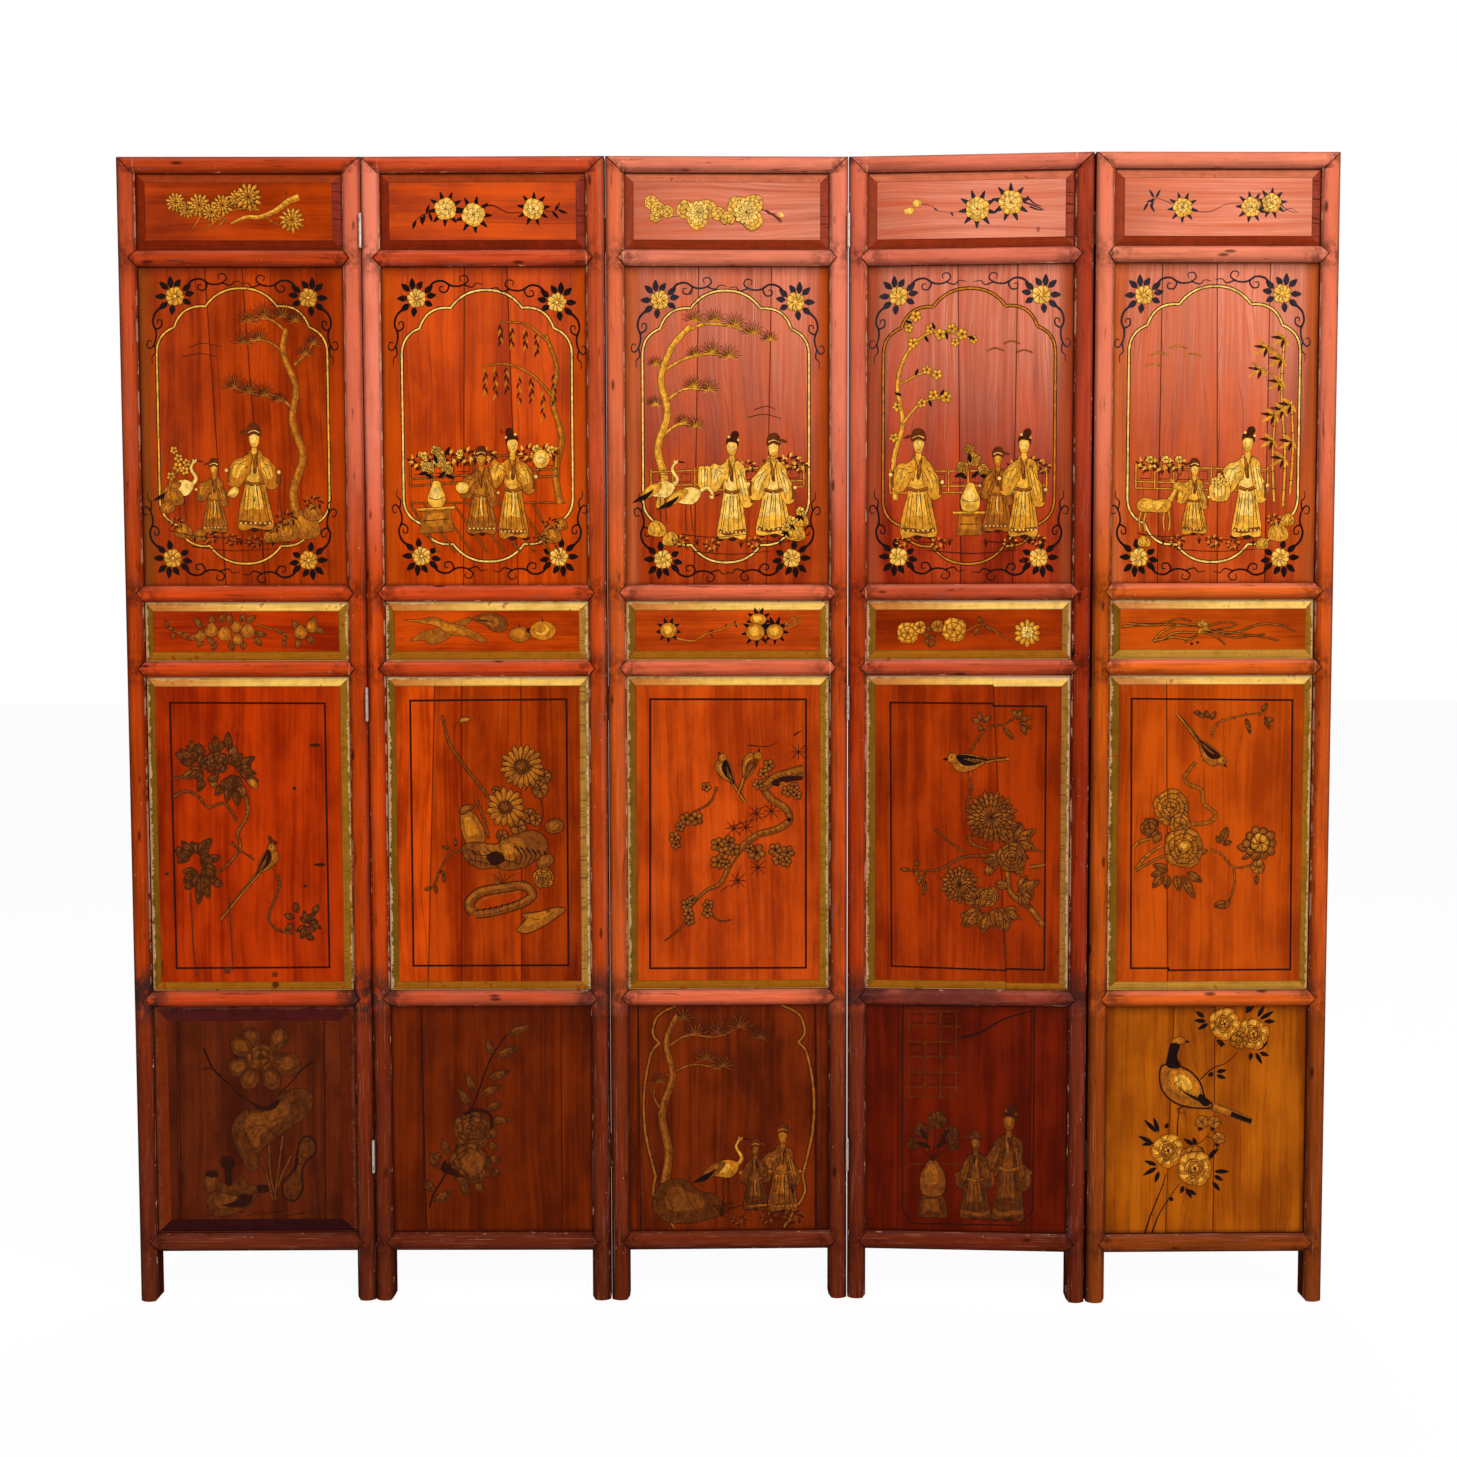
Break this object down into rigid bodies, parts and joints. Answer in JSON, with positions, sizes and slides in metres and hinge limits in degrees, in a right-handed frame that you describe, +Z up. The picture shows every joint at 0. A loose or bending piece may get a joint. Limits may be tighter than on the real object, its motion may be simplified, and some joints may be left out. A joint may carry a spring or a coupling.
{
  "type": "folding screen",
  "caption": "Tall lacquered folding screen of hinged framed leaves with gilt-edged panels and painted flower, bird and garden decoration; folds like a concertina.",
  "frame": {"origin": "floor, at the middle of the standing screen's width and depth", "axes": "+X to the right of someone facing the painted front, +Y towards the plain back, +Z up"},
  "size_m": [2.147, 0.055, 2.05],
  "materials": {
    "frame_lacquer": "worn red lacquer, semi-gloss",
    "panel_lacquer": "clear red-orange lacquer over grain",
    "gilt_panel": "red-orange lacquer with rubbed gilt bevels",
    "skirt_lacquer": "darkened red lacquer over grain",
    "hinge_steel": "plain bright steel",
    "gold_paint": "thin gold paint under clear lacquer",
    "ink_paint": "black and dark brown line paint"
  },
  "bodies": {
    "leaf_1": {"leaf_1_left_stile": "frame_lacquer", "leaf_1_right_stile": "frame_lacquer", "leaf_1_top_rail": "frame_lacquer", "leaf_1_cross_rails": "frame_lacquer", "leaf_1_frieze_panel": "panel_lacquer", "leaf_1_upper_boards": "panel_lacquer", "leaf_1_waist_panel": "gilt_panel", "leaf_1_lower_panel": "gilt_panel", "leaf_1_skirt_panel": "skirt_lacquer", "leaf_1_hinge_plates": "hinge_steel", "leaf_1_hinge_screws": "hinge_steel"},
    "leaf_2": {"leaf_2_left_stile": "frame_lacquer", "leaf_2_right_stile": "frame_lacquer", "leaf_2_top_rail": "frame_lacquer", "leaf_2_cross_rails": "frame_lacquer", "leaf_2_frieze_panel": "panel_lacquer", "leaf_2_upper_boards": "panel_lacquer", "leaf_2_waist_panel": "gilt_panel", "leaf_2_lower_panel": "gilt_panel", "leaf_2_skirt_panel": "skirt_lacquer", "leaf_2_hinge_plates": "hinge_steel", "leaf_2_hinge_screws": "hinge_steel", "seam_1_hinge_pins": "hinge_steel"},
    "leaf_3": {"leaf_3_left_stile": "frame_lacquer", "leaf_3_right_stile": "frame_lacquer", "leaf_3_top_rail": "frame_lacquer", "leaf_3_cross_rails": "frame_lacquer", "leaf_3_frieze_panel": "panel_lacquer", "leaf_3_upper_boards": "panel_lacquer", "leaf_3_waist_panel": "gilt_panel", "leaf_3_lower_panel": "gilt_panel", "leaf_3_skirt_panel": "skirt_lacquer", "leaf_3_hinge_plates": "hinge_steel", "leaf_3_hinge_screws": "hinge_steel", "seam_2_hinge_pins": "hinge_steel", "seam_3_hinge_pins": "hinge_steel"},
    "leaf_4": {"leaf_4_left_stile": "frame_lacquer", "leaf_4_right_stile": "frame_lacquer", "leaf_4_top_rail": "frame_lacquer", "leaf_4_cross_rails": "frame_lacquer", "leaf_4_frieze_panel": "panel_lacquer", "leaf_4_upper_boards": "panel_lacquer", "leaf_4_waist_panel": "gilt_panel", "leaf_4_lower_panel": "gilt_panel", "leaf_4_skirt_panel": "skirt_lacquer", "leaf_4_hinge_plates": "hinge_steel", "leaf_4_hinge_screws": "hinge_steel", "seam_4_hinge_pins": "hinge_steel"},
    "leaf_5": {"leaf_5_left_stile": "frame_lacquer", "leaf_5_right_stile": "frame_lacquer", "leaf_5_top_rail": "frame_lacquer", "leaf_5_cross_rails": "frame_lacquer", "leaf_5_frieze_panel": "panel_lacquer", "leaf_5_upper_boards": "panel_lacquer", "leaf_5_waist_panel": "gilt_panel", "leaf_5_lower_panel": "gilt_panel", "leaf_5_skirt_panel": "skirt_lacquer", "leaf_5_hinge_plates": "hinge_steel", "leaf_5_hinge_screws": "hinge_steel"}
  },
  "joints": [
    {"name": "seam_3_fold", "type": "hinge", "parent": "leaf_3", "child": "leaf_4", "pos_m": [0.21401, -0.00549, 1], "axis": [0, 0, -1], "range_deg": [-4.3, 170.7]},
    {"name": "seam_4_fold", "type": "hinge", "parent": "leaf_4", "child": "leaf_5", "pos_m": [0.64444, 0.00756, 1], "axis": [0, 0, 1], "range_deg": [-3.9, 176.1]},
    {"name": "seam_2_fold", "type": "hinge", "parent": "leaf_3", "child": "leaf_2", "pos_m": [-0.21576, 0.02182, 1], "axis": [0, 0, -1], "range_deg": [-1.2, 173.8]},
    {"name": "seam_1_fold", "type": "hinge", "parent": "leaf_2", "child": "leaf_1", "pos_m": [-0.64486, -0.01448, 1], "axis": [0, 0, 1], "range_deg": [-0.6, 179.4]}
  ]
}
